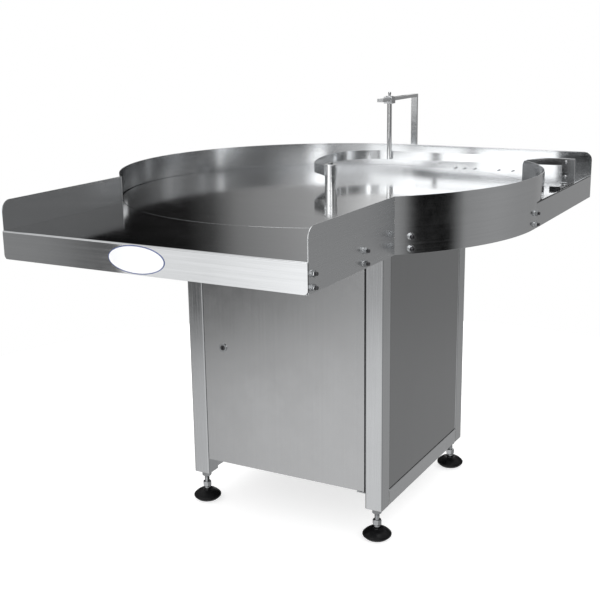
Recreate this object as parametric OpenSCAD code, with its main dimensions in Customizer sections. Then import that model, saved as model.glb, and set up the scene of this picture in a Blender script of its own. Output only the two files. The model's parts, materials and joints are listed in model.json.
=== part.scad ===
// Rotary bottle unscrambler: a loading table, a turning disc inside a round guard,
// a curved guide that leads bottles to the outlet lane, and a cabinet with the drive.
// The origin is on the floor below the disc axis. X runs along the front edge, Y to the back, Z up.

/* [Table] */
// Height of the table and disc surface above the floor
table_z = 895; // [850:5:950]
// Radius of the turning disc
disc_r = 587; // [560:1:600]
// Running gap between the disc and the inner face of the guard
disc_gap = 3; // [2:0.5:4]
// Thickness of the guards, walls and plates
sheet = 2; // [1.5:0.5:2]
// Height of the guards above the table surface
wall_h = 70; // [50:5:100]
// Depth of the skirts below the table surface
skirt_h = 68; // [66:1:80]
// Left outer face of the loading table
load_x0 = -417; // [-440:1:-400]
// Right outer face of the loading table
load_x1 = 393; // [380:1:420]
// Front outer face of the loading table
load_y = -868.5; // [-900:0.5:-840]
// Angle at which the front guard ends over the outlet plate
front_end = 42.6; // [40:0.1:46]

/* [Guide] */
// Distance of the straight guide strip behind the disc axis
guide_y = 404; // [380:1:430]
// Height of the guide strip
strip_h = 28; // [24:1:40]
// Loss of strip height from the centre to the outlet end
strip_taper = 8; // [0:1:10]
// Diameter of the vertical guide rod
rod_d = 15; // [12:1:16]
// Height of the top face of the guide arm above the floor
arm_z = 1130; // [1110:5:1160]
// Thickness of the guide arm bar
arm_t = 10; // [6:1:12]
// Front end of the guide arm, behind the disc axis
arm_y = 325; // [290:5:340]
// Travel of the guide height setting
guide_travel = 20; // [10:1:20]

/* [Cabinet] */
// Width and depth of the cabinet over its posts
cab = 600; // [560:10:640]
// Side of the square corner posts
post = 50; // [40:1:50]
// Height of the lower ends of the posts above the floor
post_z = 90; // [80:1:100]
// Height of the bottom rails
rail_h = 45; // [40:1:60]
// Depth of the door's folded edges
door_fold = 20; // [15:1:22]

/* [Feet] */
// Diameter of the foot pads
pad_d = 80; // [70:1:80]
// Diameter of the foot studs
stud_d = 14; // [12:1:16]

/* [Drive] */
// Diameter of the main shaft
shaft_d = 35; // [30:1:36]
// Centre distance of the worm gear
worm_a = 63; // [63:0.5:64]
// Height of the worm axis above the floor
worm_z = 741; // [735:1:742]

/* [Hidden] */
$fn = 96;
guard_r = disc_r + disc_gap;          // inner face of the round guard
guard_ro = guard_r + sheet;           // outer face of the round guard
plate_r = disc_r + 2;                 // concave edge of the fixed plates
skirt_z = table_z - skirt_h;          // lower edge of the skirts
top_z = table_z + wall_h;             // upper edge of the guards
bend = 4;                             // outer radius of the sheet bends
hc = cab / 2;
fp = hc - post / 2;                   // foot places
door_hw = hc - post - 2;              // half width of the door
door_z0 = post_z + rail_h + 3;
top_rail_z = skirt_z - 25;
door_z1 = top_rail_z - 5;
hinge_x = door_hw - 4.5;
hinge_y = -hc + 4.5;
lock_x = -187;
lock_z = 483;
strip_z = top_z - strip_h;
rod_x = 4;
ang_r = -acos((load_x1 - sheet) / guard_r);        // front end of the front guard
ang_l = 360 - acos((load_x0 + sheet) / guard_r);   // front end of the rear guard
bolt_z = [table_z - 26, table_z - 55];
wall_bolt_y = [-850, -607];
front_bolt_a = [-44.5, 0.7];
rear_bolt_a = [125, 165, 208];
back_bolt_x = [300, 560];
stud_z = [915, 950];
knob_x = -110;
rocker_x = -180;
panel_z = 560;
box_y = 170;
gland = [150, 250];
steel = [0.74, 0.75, 0.76];
bright = [0.85, 0.86, 0.87];
dark = [0.12, 0.12, 0.13];

// ---------- shared shapes ----------
module box(a, b) { translate(a) cube(b - a); }
module tube_box(a, b, t, ax) {
  i = [for (k = [0:2]) k == ax ? -1 : t];
  difference() { box(a, b); box(a + i, b - i); }
}
module hexagon(af, h) { cylinder(r = af / 2 / cos(30), h = h, $fn = 6); }
// Wall sheet in the plane X, outline in Y and Z, with a rounded upper front corner
module side_sheet(x, y0, y1) {
  translate([x, 0, 0]) rotate([90, 0, 90]) linear_extrude(sheet) {
    translate([y0, skirt_z]) square([y1 - y0, top_z - skirt_z - 25]);
    translate([y0 + 25, skirt_z]) square([y1 - y0 - 25, top_z - skirt_z]);
    translate([y0 + 25, top_z - 25]) circle(25);
  }
}
// Arc of the round guard between two angles
module guard_arc(a0, a1, z0, z1) {
  rotate([0, 0, a0]) rotate_extrude(angle = a1 - a0, $fn = 180) translate([guard_r, z0]) square([sheet, z1 - z0]);
}
// Places of the outer bolts: X axis of each place points outward from the wall face
module at_wall_bolts(side) {
  for (y = wall_bolt_y, z = bolt_z)
    translate([side > 0 ? load_x1 : load_x0, y, z]) rotate([0, 0, side > 0 ? 0 : 180]) children();
}
module at_arc_bolts(angles) {
  for (a = angles, z = bolt_z) rotate([0, 0, a]) translate([guard_ro, 0, z]) children();
}
module at_back_bolts() {
  for (x = back_bolt_x, z = bolt_z) translate([x, guard_ro, z]) rotate([0, 0, 90]) children();
}
module bolt_hole() { rotate([0, 90, 0]) translate([0, 0, -30]) cylinder(r = 4, h = 32); }
module outer_bolt() {
  rotate([0, 90, 0]) {
    translate([0, 0, -18]) cylinder(r = 4, h = 18.5);
    cylinder(r = 8.5, h = 1.6);
    translate([0, 0, 1.6]) hexagon(13, 5.4);
    translate([0, 0, 7]) cylinder(r = 4, h = 6.5);
  }
}
module ring(r0, r1, z0, z1) { translate([0, 0, z0]) difference() { cylinder(r = r1, h = z1 - z0); translate([0, 0, -1]) cylinder(r = r0, h = z1 - z0 + 2); } }
module worm_axis() { translate([0, worm_a, worm_z]) rotate([0, 90, 0]) children(); }
module corners() { for (x = [-fp, fp], y = [-fp, fp]) translate([x, y, 0]) children(); }

// ---------- cabinet frame ----------
module leg_posts() {
  color(steel) corners() {
    tube_box([-post / 2, -post / 2, post_z + 8], [post / 2, post / 2, skirt_z], 2.5, 2);
    difference() {
      box([-post / 2, -post / 2, post_z], [post / 2, post / 2, post_z + 8]);
      translate([0, 0, post_z - 1]) cylinder(r = stud_d / 2 + 0.05, h = 12);
    }
  }
}
module frame_rails() {
  p = hc - post;
  color(steel) {
    for (x = [-hc, hc - 40]) tube_box([x, -p, post_z], [x + 40, p, post_z + rail_h], 2.5, 1);
    tube_box([-p, hc - 40, post_z], [p, hc, post_z + rail_h], 2.5, 0);
    for (x = [-hc, hc - post]) tube_box([x, -p, top_rail_z], [x + post, p, skirt_z], 2.5, 1);
    for (y = [-hc, hc - post]) tube_box([-p, y, top_rail_z], [p, y + post, skirt_z], 2.5, 0);
    for (y = [-115, 65]) tube_box([-p, y, top_rail_z], [p, y + 50, skirt_z], 2.5, 0);
  }
}
module side_panels() {
  p = hc - post;
  color(steel) for (x = [-hc + 1.5, hc - 3.5]) box([x, -p, post_z + rail_h], [x + 2, p, top_rail_z]);
}
module rear_panel() {
  p = hc - post;
  color(steel) difference() {
    box([-p, hc - 8, post_z + rail_h], [p, hc - 6, top_rail_z]);
    translate([gland[0], hc, gland[1]]) rotate([90, 0, 0]) cylinder(r = 8, h = 20);
  }
}

// ---------- table ----------
module tray_outline() {
  circle(r = guard_r, $fn = 180);
  translate([load_x0 + sheet, load_y + sheet]) square([load_x1 - load_x0 - 2 * sheet, 450]);
  translate([0, 21]) square([guard_r, guard_r - 21]);
}
module table_tray() {
  color(steel) translate([0, 0, skirt_z]) linear_extrude(2) difference() { tray_outline(); circle(r = 60); }
}
module table_ribs() {
  color(steel) {
    for (x = [-270, 230]) tube_box([x, -860, skirt_z + 2], [x + 40, 510, skirt_z + 27], 2.5, 1);
    for (y = [-820, -720, -625]) box([load_x0 + sheet, y, skirt_z + 27], [load_x1 - sheet, y + 4, table_z - sheet]);
  }
}
module quarter_bend(l) {
  intersection() {
    ring(bend - sheet, bend, 0, l);
    translate([0, 0, 0]) cube([bend, bend, l]);
  }
}
module loading_plate() {
  w = load_x1 - load_x0;
  color(steel) {
    difference() {
      box([load_x0 + sheet, load_y + bend, table_z - sheet], [load_x1 - sheet, -419, table_z]);
      translate([0, 0, table_z - 10]) cylinder(r = plate_r, h = 20, $fn = 180);
    }
    translate([load_x0, load_y + bend, table_z - bend]) rotate([90, 0, 90]) mirror([1, 0, 0]) quarter_bend(w);
    translate([0, load_y + sheet, 0]) rotate([90, 0, 0]) linear_extrude(sheet) {
      translate([load_x0, skirt_z + 10]) square([w, skirt_h - 10 - bend]);
      translate([load_x0 + 10, skirt_z]) square([w - 20, 10]);
      for (x = [load_x0 + 10, load_x1 - 10]) translate([x, skirt_z + 10]) circle(10);
    }
  }
}
module outlet_plate() {
  x1 = guard_ro - bend;
  color(steel) {
    difference() {
      box([40, 42, table_z - sheet], [x1, guard_r, table_z]);
      translate([0, 0, table_z - 10]) cylinder(r = plate_r, h = 20, $fn = 180);
    }
    translate([x1, 21, table_z - bend]) mirror([0, 1, 0]) rotate([90, 0, 0]) quarter_bend(guard_r - 21);
    box([guard_r, 21, skirt_z], [guard_ro, guard_r, table_z - bend]);
  }
}
module left_wall() {
  color(steel) difference() {
    side_sheet(load_x0, load_y + bend, -400);
    cylinder(r = guard_ro, h = 2000, $fn = 180);
    at_wall_bolts(-1) bolt_hole();
  }
}
module right_wall() {
  color(steel) difference() {
    side_sheet(load_x1 - sheet, load_y + bend, -400);
    cylinder(r = guard_ro, h = 2000, $fn = 180);
    at_wall_bolts(1) bolt_hole();
  }
}
module rear_guard() {
  color(steel) difference() {
    union() {
      guard_arc(90, ang_l, skirt_z, top_z);
      translate([0, guard_ro, 0]) rotate([90, 0, 0]) linear_extrude(sheet) {
        translate([0, skirt_z]) square([guard_ro, top_z - skirt_z - 25]);
        translate([0, skirt_z]) square([guard_ro - 25, top_z - skirt_z]);
        translate([guard_ro - 25, top_z - 25]) circle(25);
      }
    }
    at_arc_bolts(rear_bolt_a) bolt_hole();
    at_back_bolts() bolt_hole();
  }
}
module front_guard() {
  color(steel) difference() {
    union() {
      guard_arc(ang_r, 2, skirt_z, top_z);
      guard_arc(2, front_end, table_z, top_z);
    }
    translate([-100, 0, top_z]) rotate([-1.42, 0, 0]) cube([900, 900, 60]);
    at_arc_bolts(front_bolt_a) bolt_hole();
  }
}
module guard_brackets() {
  z0 = skirt_z + 2;
  z1 = table_z - 11;
  module block() { box([-26, -12, z0 - 827], [-sheet, 12, z1 - 827]); }
  color(steel) difference() {
    intersection() {
      union() {
        for (a = concat(front_bolt_a, rear_bolt_a)) rotate([0, 0, a]) translate([guard_ro + 1, 0, 827]) block();
        for (y = wall_bolt_y) {
          translate([load_x1, y, 827]) block();
          translate([load_x0, y, 827]) rotate([0, 0, 180]) block();
        }
        for (x = back_bolt_x) translate([x, guard_ro, 827]) rotate([0, 0, 90]) block();
      }
      union() {
        translate([0, 0, 800]) cylinder(r = guard_r, h = 200, $fn = 180);
        box([load_x0 + sheet, load_y + sheet, 800], [load_x1 - sheet, -500, 1000]);
        box([50, 400, 800], [guard_r, guard_r, 1000]);
      }
    }
    at_wall_bolts(1) bolt_hole();
    at_wall_bolts(-1) bolt_hole();
    at_arc_bolts(front_bolt_a) bolt_hole();
    at_arc_bolts(rear_bolt_a) bolt_hole();
    at_back_bolts() bolt_hole();
  }
}
module guard_bolts() {
  color(bright) {
    at_wall_bolts(1) outer_bolt();
    at_wall_bolts(-1) outer_bolt();
    at_arc_bolts(front_bolt_a) outer_bolt();
    at_arc_bolts(rear_bolt_a) outer_bolt();
    at_back_bolts() outer_bolt();
    // studs that hold the guide arm, with washer and nut
    for (z = stud_z) translate([rod_x, guard_ro, z]) rotate([-90, 0, 0]) {
      cylinder(r = 4, h = arm_t + 12);
      translate([0, 0, arm_t + 0.6]) cylinder(r = 8.5, h = 1.6);
      translate([0, 0, arm_t + 2.2]) hexagon(13, 6.5);
    }
  }
}
module plate_screws() {
  color(bright) for (x = [154, 185, 220, 300, 346, 497]) translate([x, 583, table_z]) {
    cylinder(r = 3.5, h = 1.2);
    translate([0, 0, 1.2]) cylinder(r1 = 3.5, r2 = 2.2, h = 0.9);
  }
}
module outlet_foot() {
  color(steel) difference() {
    union() {
      box([572, 256, table_z], [589, 401, table_z + 3]);
      box([558, 252, table_z], [589.5, 256, table_z + 9]);
    }
    translate([580.5, 330, table_z - 1]) cylinder(r = 3, h = 10);
  }
  color(bright) translate([580.5, 330, table_z]) {
    cylinder(r = 3, h = 4);
    translate([0, 0, 3]) cylinder(r = 6, h = 3.5);
  }
}
module badge() {
  color("white") translate([-30, load_y, table_z - 34]) rotate([90, 0, 0])
    linear_extrude(1.2) polygon([for (a = [0:4:356]) [76 * cos(a), 32 * sin(a)]]);
}

// ---------- drive ----------
module drive_plate() {
  color("slategray") difference() {
    box([-140, -130, top_rail_z - 10], [73, 130, top_rail_z]);
    translate([0, 0, top_rail_z - 20]) cylinder(r = 40, h = 40);
  }
}
module bearing_housing() {
  color("slategray") difference() {
    union() {
      box([-70, -60, top_rail_z], [70, 60, top_rail_z + 12]);
      translate([0, 0, top_rail_z]) cylinder(r = 50, h = 44);
    }
    translate([0, 0, top_rail_z - 1]) cylinder(r = 30, h = 60);
    translate([0, 0, top_rail_z + 20]) cylinder(r = 36, h = 60);
  }
}
module shaft_bearings() {
  r = shaft_d / 2 + 0.05;
  color(bright) {
    ring(r, 36, top_rail_z + 20, top_rail_z + 38);
    ring(r, 25, 780, 792);
    ring(r, 25, 692, 704);
  }
}
module gearbox_housing() {
  color([0.35, 0.42, 0.5]) difference() {
    union() {
      box([-70, -75, 692], [70, 105, 792]);
      box([-75, worm_a - 30, 711], [75, worm_a + 30, 771]);
    }
    translate([0, 0, 714]) cylinder(r = 54, h = 54);
    translate([0, 0, 600]) cylinder(r = 25, h = 300);
    worm_axis() translate([0, 0, -50]) cylinder(r = 17, h = 100);
    worm_axis() translate([0, 0, -71]) cylinder(r = 10.05, h = 160);
  }
}
module worm_wheel() {
  color("goldenrod") difference() {
    union() {
      translate([0, 0, worm_z - 17]) cylinder(r = worm_a - 13.2, h = 34);
      translate([0, 0, worm_z - 25]) cylinder(r = 28, h = 50);
    }
    translate([0, 0, 600]) cylinder(r = shaft_d / 2, h = 300);
  }
}
module main_shaft() {
  color(bright) translate([0, 0, 685]) cylinder(r = shaft_d / 2, h = table_z - 11 - 685);
}
module motor_body() {
  color([0.35, 0.42, 0.5]) worm_axis() {
    difference() {
      union() {
        translate([0, 0, 75]) cylinder(r = 60, h = 8);
        translate([0, 0, 83]) cylinder(r = 50, h = 127);
        for (a = [0:15:345]) rotate([0, 0, a]) translate([49, -1.2, 88]) cube([6.5, 2.4, 112]);
      }
      translate([0, 0, 90]) cylinder(r = 44, h = 112);
      translate([0, 0, 70]) cylinder(r = 10.05, h = 150);
    }
  }
}
module fan_cover() {
  color(dark) worm_axis() difference() {
    translate([0, 0, 210]) cylinder(r = 56, h = 38);
    translate([0, 0, 209]) cylinder(r = 54, h = 37);
    for (a = [0:30:330], r = [18, 32, 45]) rotate([0, 0, a + r]) translate([r, 0, 240]) cylinder(r = 3, h = 20);
  }
}
module terminal_box() {
  color([0.35, 0.42, 0.5]) {
    box([110, worm_a + 56, 711], [170, worm_a + 96, 771]);
    box([107, worm_a + 96, 708], [173, worm_a + 100, 774]);
  }
}
module worm_shaft() {
  color(bright) worm_axis() {
    translate([0, 0, -68]) cylinder(r = 10, h = 306);
    translate([0, 0, -30]) cylinder(r = 12.8, h = 60);
  }
}
module motor_rotor() { color("slategray") worm_axis() ring(10, 42, 98, 190); }
module motor_fan() {
  color(dark) worm_axis() {
    ring(10, 16, 214, 234);
    for (a = [0:45:315]) rotate([0, 0, a]) translate([15.5, -1, 216]) cube([32, 2, 16]);
  }
}

// ---------- turntable ----------
module disc() {
  color(bright) difference() {
    translate([0, 0, table_z - 5]) cylinder(r = disc_r, h = 5, $fn = 180);
    translate([0, 0, table_z - 6]) cylinder(r = 10, h = 10);
    for (a = [0:60:300]) rotate([0, 0, a]) translate([65, 0, table_z - 6]) cylinder(r = 4, h = 4);
  }
}
module disc_ribs() {
  color(steel) for (a = [22.5:45:360]) rotate([0, 0, a]) box([90.3, -2.5, table_z - 33], [550, 2.5, table_z - 5]);
}
module hub_flange() {
  color(steel) difference() {
    union() {
      translate([0, 0, table_z - 17]) cylinder(r = 90, h = 12);
      translate([0, 0, table_z - 45]) cylinder(r = 34, h = 30);
    }
    translate([0, 0, 800]) cylinder(r = shaft_d / 2, h = 200);
    for (a = [0:60:300]) rotate([0, 0, a]) translate([65, 0, 800]) cylinder(r = 4, h = 200);
  }
}
module hub_bolts() {
  color(bright) for (a = [0:60:300]) rotate([0, 0, a]) translate([65, 0, 0]) {
    translate([0, 0, table_z - 17]) cylinder(r = 4, h = 15);
    translate([0, 0, table_z - 22.4]) hexagon(13, 5.4);
  }
}
module centre_post() {
  color(bright) {
    translate([0, 0, table_z - 9]) cylinder(r = 10, h = 10);
    translate([0, 0, table_z]) cylinder(r = 17, h = 42);
    translate([0, 0, table_z + 42]) cylinder(r = 8, h = 24.5);
  }
}

// ---------- guide ----------
r1 = 130;                              // bend from the straight strip
r2 = 520;                              // shallow bow over the disc
r3 = 60;                               // bend towards the centre post
c1 = [0, guide_y - r1];
c2 = [r2 - r1, guide_y - r1];
c3 = c2 + (r2 - r3) * [cos(205), sin(205)];
p3 = c3 + r3 * [cos(228), sin(228)];
d3 = [-sin(228), cos(228)];
function arc(c, r, a0, a1, n, i0) = [for (i = [i0:n]) c + r * [cos(a0 + (a1 - a0) * i / n), sin(a0 + (a1 - a0) * i / n)]];
// One side of the strip, offset e outward from its middle line
function strip_side(e) = concat([[588, guide_y + e]],
  arc(c1, r1 + e, 90, 180, 24, 0), arc(c2, r2 + e, 180, 205, 12, 1), arc(c3, r3 + e, 205, 228, 8, 1),
  [p3 + e * [cos(228), sin(228)] + 74 * d3]);
function reversed(v) = [for (i = [len(v) - 1:-1:0]) v[i]];
module guide_strip() {
  color(steel) difference() {
    translate([0, 0, strip_z]) linear_extrude(strip_h) polygon(concat(strip_side(1), reversed(strip_side(-1))));
    translate([0, guide_y + 20, 0]) rotate([90, 0, 0]) linear_extrude(40)
      polygon([[0, strip_z], [600, strip_z + strip_taper * 600 / 588], [600, strip_z - 20], [0, strip_z - 20]]);
  }
}
module pivot_cap() {
  n = norm(c3 - p3) + c3[0] * cos(228) + c3[1] * sin(228) - 1;   // inner face of the strip from the axis
  color(bright) difference() {
    union() {
      translate([0, 0, table_z + 42.4]) cylinder(r = 17.5, h = 29.6);
      // lug to which the strip is welded
      rotate([0, 0, 228]) translate([14, -7, table_z + 44]) cube([n - 14, 14, 26]);
    }
    translate([0, 0, table_z + 40]) cylinder(r = 11, h = 27.5);
    translate([0, 0, table_z + 40]) cylinder(r = 4, h = 40);
  }
}
module cap_bush() { color("goldenrod") ring(8.05, 11, table_z + 42.4, table_z + 67.5); }
module guide_rod() {
  color(bright) difference() {
    translate([rod_x, guide_y - 8.1, strip_z + 2]) cylinder(r = rod_d / 2, h = arm_z - 12 - strip_z - 2);
    box([rod_x - 20, guide_y - 1, strip_z - 5], [rod_x + 20, guide_y + 10, arm_z]);
  }
}
module clamp_block() {
  y = guide_y - 8.1;
  color(steel) difference() {
    box([rod_x - 13.5, y - 13.5, arm_z - 18], [rod_x + 13.5, y + 13.5, arm_z + 3]);
    box([rod_x - 10.1, y - 20, arm_z - arm_t - 0.1], [rod_x + 10.1, y + 20, arm_z + 0.1]);
    translate([rod_x, y, arm_z - 26]) cylinder(r = rod_d / 2, h = 14);
    translate([rod_x, y, arm_z - 14]) cylinder(r = 4, h = 40);
  }
}
module guide_bolts() {
  y = guide_y - 8.1;
  color(bright) {
    // clamp screw with washer and round head
    translate([rod_x, y, arm_z - 12]) cylinder(r = 4, h = 16);
    translate([rod_x, y, arm_z + 3]) cylinder(r = 12, h = 2);
    translate([rod_x, y, arm_z + 4]) cylinder(r = 3.6, h = 8);
    translate([rod_x, y, arm_z + 13]) sphere(r = 4.8);
    translate([0, 0, table_z + 67.5]) cylinder(r = 4, h = 5);
    translate([0, 0, table_z + 72]) cylinder(r = 19.5, h = 1.6);
    translate([0, 0, table_z + 73.6]) hexagon(13, 5.4);
    for (z = [912, 955]) translate([563, guide_y - 2.8, z]) rotate([90, 0, 0]) {
      cylinder(r = 4.5, h = 1.2);
      translate([0, 0, 1.2]) cylinder(r1 = 4.5, r2 = 3, h = 1.6);
    }
  }
}
module guide_arm() {
  y = guard_ro + 0.3;
  color(steel) difference() {
    union() {
      box([rod_x - 10, y, 852], [rod_x + 10, y + arm_t, arm_z]);
      box([rod_x - 10, arm_y, arm_z - arm_t], [rod_x + 10, y + arm_t, arm_z]);
    }
    for (z = stud_z) {
      translate([rod_x, y - 5, z]) rotate([-90, 0, 0]) cylinder(r = 4.5, h = 20);
      translate([rod_x, y - 5, z - guide_travel]) rotate([-90, 0, 0]) cylinder(r = 4.5, h = 20);
      box([rod_x - 4.5, y - 5, z - guide_travel], [rod_x + 4.5, y + 15, z]);
    }
    box([rod_x - 4.5, arm_y + 28, arm_z - 15], [rod_x + 4.5, 520, arm_z + 10]);
    for (y2 = [arm_y + 28, 520]) translate([rod_x, y2, arm_z - 15]) cylinder(r = 4.5, h = 30);
  }
}
module end_plate() {
  color(steel) box([552, guide_y - 2.8, table_z + 0.4], [589, guide_y - 1, top_z]);
}

// ---------- door and fittings ----------
module door_panel() {
  y0 = -hc;
  y1 = -hc + door_fold;
  color(steel) difference() {
    union() {
      difference() {
        box([-door_hw, y0, door_z0], [door_hw, y1, door_z1]);
        box([-door_hw + 2, y0 + 2, door_z0 + 2], [door_hw - 2, y1 + 1, door_z1 - 2]);
      }
      // rib across the inside of the door
      box([-door_hw + 2, y0 + 2, 640], [door_hw - 2, y1 - 2, 642]);
    }
    translate([hinge_x, hinge_y, door_z0 - 1]) cylinder(r = 2.05, h = 4);
    translate([hinge_x, hinge_y, door_z1 - 3]) cylinder(r = 2.05, h = 4);
    translate([lock_x, y0 - 1, lock_z]) rotate([-90, 0, 0]) cylinder(r = 9.5, h = 4);
  }
}
module lock_body() {
  color(bright) translate([lock_x, -hc, lock_z]) rotate([-90, 0, 0]) difference() {
    union() {
      translate([0, 0, -3]) cylinder(r = 12.3, h = 3);
      cylinder(r = 9.5, h = 22);
      translate([0, 0, 2]) hexagon(24, 5);
    }
    translate([0, 0, -5]) cylinder(r = 7.05, h = 40);
  }
}
module lock_barrel() {
  color(bright) {
    translate([lock_x, -hc, lock_z]) rotate([-90, 0, 0]) difference() {
      translate([0, 0, -4]) cylinder(r = 7, h = 42);
      translate([-1, -4, -5]) cube([2, 8, 5]);
    }
    translate([lock_x, -hc + 33, lock_z]) difference() {
      union() {
        translate([-8, 0, 0]) cube([16, 3, 48]);
        rotate([-90, 0, 0]) cylinder(r = 8, h = 3);
        translate([0, 0, 48]) rotate([-90, 0, 0]) cylinder(r = 8, h = 3);
      }
    }
  }
}
module latch_keeper() {
  color(steel) {
    box([-hc + post, -hc + 28, lock_z - 22], [-hc + post + 13, -hc + 31, lock_z + 22]);
    box([-hc + post, -hc + 31, lock_z - 22], [-hc + post + 3, -hc + 48, lock_z + 22]);
  }
}
module hinge_brackets() {
  p = hc - post;
  module plate(z) { translate([p - 24, -hc, z]) cube([24, 30, 3]); }
  color(bright) {
    plate(door_z0 - 5);
    translate([hinge_x, hinge_y, door_z0 - 4]) cylinder(r = 2, h = 10);
    plate(door_z1 + 2);
    translate([hinge_x, hinge_y, door_z1 - 6]) cylinder(r = 2, h = 9);
  }
}
module foot_jam_nuts() {
  color(bright) corners() difference() {
    translate([0, 0, post_z - 17]) hexagon(24, 17);
    translate([0, 0, post_z - 20]) cylinder(r = stud_d / 2 + 0.05, h = 40);
  }
}
module control_box() {
  color([0.8, 0.81, 0.82]) {
    difference() {
      box([-240, box_y, 380], [-60, hc - 8, 620]);
      box([-238, box_y + 2, 382], [-62, hc - 10, 618]);
      translate([knob_x, box_y - 5, panel_z]) rotate([-90, 0, 0]) cylinder(r = 3.05, h = 10);
      box([rocker_x - 8, box_y - 1, panel_z - 11.2], [rocker_x + 8, box_y + 3, panel_z + 11.2]);
    }
    for (x = [rocker_x - 10, rocker_x + 8]) difference() {
      box([x, box_y + 2, panel_z - 5], [x + 2, box_y + 9, panel_z + 5]);
      translate([x - 1, box_y + 5, panel_z]) rotate([0, 90, 0]) cylinder(r = 1.55, h = 4);
    }
  }
}
module speed_knob() {
  color(dark) translate([knob_x, box_y, panel_z]) rotate([-90, 0, 0]) {
    difference() {
      translate([0, 0, -20]) cylinder(r = 14, h = 18);
      translate([-1, -15, -21]) cube([2, 12, 2]);
    }
    translate([0, 0, -3]) cylinder(r = 3, h = 18);
  }
}
module power_rocker() {
  color(dark) translate([rocker_x, box_y + 5, panel_z]) rotate([-7, 0, 0]) {
    translate([-7.5, 0, 0]) rotate([90, 0, 90]) linear_extrude(15) polygon([[-5.5, 0], [-7, 9.2], [5, 6], [5, -6], [-7, -9.2]]);
    translate([-10, 0, 0]) rotate([0, 90, 0]) cylinder(r = 1.5, h = 20);
  }
}
module cable_gland() {
  color(dark) translate([gland[0], hc - 6, gland[1]]) rotate([-90, 0, 0]) difference() {
    union() {
      translate([0, 0, -12]) cylinder(r = 8, h = 20);
      hexagon(22, 6);
      translate([0, 0, 6]) cylinder(r = 10, h = 10);
      translate([0, 0, 16]) cylinder(r1 = 10, r2 = 7, h = 4);
      translate([0, 0, -8]) hexagon(22, 6);
    }
    translate([0, 0, -20]) cylinder(r = 4.5, h = 60);
  }
}

// ---------- levelling feet ----------
module foot_stud(x, y) {
  color(bright) translate([x, y, 0]) {
    translate([0, 0, 24]) cylinder(r = 9, h = 15);
    translate([0, 0, 39]) hexagon(22, 15);
    translate([0, 0, 54]) cylinder(r = stud_d / 2, h = 100);
  }
}
module foot_pad(x, y) {
  color(dark) translate([x, y, 0]) difference() {
    intersection() {
      translate([0, 0, -17.4]) sphere(r = norm([pad_d / 2, 31.4]));
      cylinder(r = pad_d / 2, h = 30);
    }
    translate([0, 0, 24]) cylinder(r = 9, h = 10);
  }
}
module foot_stud_fl() { foot_stud(-fp, -fp); }
module foot_stud_fr() { foot_stud(fp, -fp); }
module foot_stud_rl() { foot_stud(-fp, fp); }
module foot_stud_rr() { foot_stud(fp, fp); }
module foot_pad_fl() { foot_pad(-fp, -fp); }
module foot_pad_fr() { foot_pad(fp, -fp); }
module foot_pad_rl() { foot_pad(-fp, fp); }
module foot_pad_rr() { foot_pad(fp, fp); }

leg_posts();
frame_rails();
side_panels();
rear_panel();
table_tray();
table_ribs();
loading_plate();
outlet_plate();
left_wall();
right_wall();
rear_guard();
front_guard();
guard_brackets();
guard_bolts();
plate_screws();
outlet_foot();
badge();
drive_plate();
bearing_housing();
shaft_bearings();
gearbox_housing();
motor_body();
fan_cover();
terminal_box();
control_box();
cable_gland();
hinge_brackets();
latch_keeper();
foot_jam_nuts();
disc();
disc_ribs();
hub_flange();
hub_bolts();
main_shaft();
worm_wheel();
centre_post();
worm_shaft();
motor_rotor();
motor_fan();
door_panel();
lock_body();
lock_barrel();
speed_knob();
power_rocker();
guide_strip();
pivot_cap();
cap_bush();
guide_rod();
clamp_block();
guide_bolts();
guide_arm();
end_plate();
foot_stud_fl();
foot_stud_fr();
foot_stud_rl();
foot_stud_rr();
foot_pad_fl();
foot_pad_fr();
foot_pad_rl();
foot_pad_rr();
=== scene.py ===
import bpy
import bmesh
import json
import math
from mathutils import Vector, Matrix

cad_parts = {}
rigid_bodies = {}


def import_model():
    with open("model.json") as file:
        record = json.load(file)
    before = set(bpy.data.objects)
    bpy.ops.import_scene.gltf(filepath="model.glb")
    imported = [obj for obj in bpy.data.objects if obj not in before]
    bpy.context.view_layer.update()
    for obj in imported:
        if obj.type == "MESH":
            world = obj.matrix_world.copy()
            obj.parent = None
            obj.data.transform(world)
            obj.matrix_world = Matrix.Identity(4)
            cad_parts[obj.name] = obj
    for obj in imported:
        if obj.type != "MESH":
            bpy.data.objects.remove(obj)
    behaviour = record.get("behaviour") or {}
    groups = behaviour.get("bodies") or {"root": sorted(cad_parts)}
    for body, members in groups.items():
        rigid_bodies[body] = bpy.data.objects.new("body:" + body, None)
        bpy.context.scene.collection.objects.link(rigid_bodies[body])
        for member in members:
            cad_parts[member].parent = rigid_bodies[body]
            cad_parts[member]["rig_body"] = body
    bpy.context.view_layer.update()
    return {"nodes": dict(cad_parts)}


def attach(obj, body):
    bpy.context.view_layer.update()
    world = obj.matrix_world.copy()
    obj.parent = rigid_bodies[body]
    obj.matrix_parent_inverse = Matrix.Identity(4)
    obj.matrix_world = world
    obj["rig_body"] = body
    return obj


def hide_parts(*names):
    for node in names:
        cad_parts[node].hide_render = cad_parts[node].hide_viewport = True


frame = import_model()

nodes = frame["nodes"]
scene = bpy.context.scene
rad = math.radians

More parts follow.
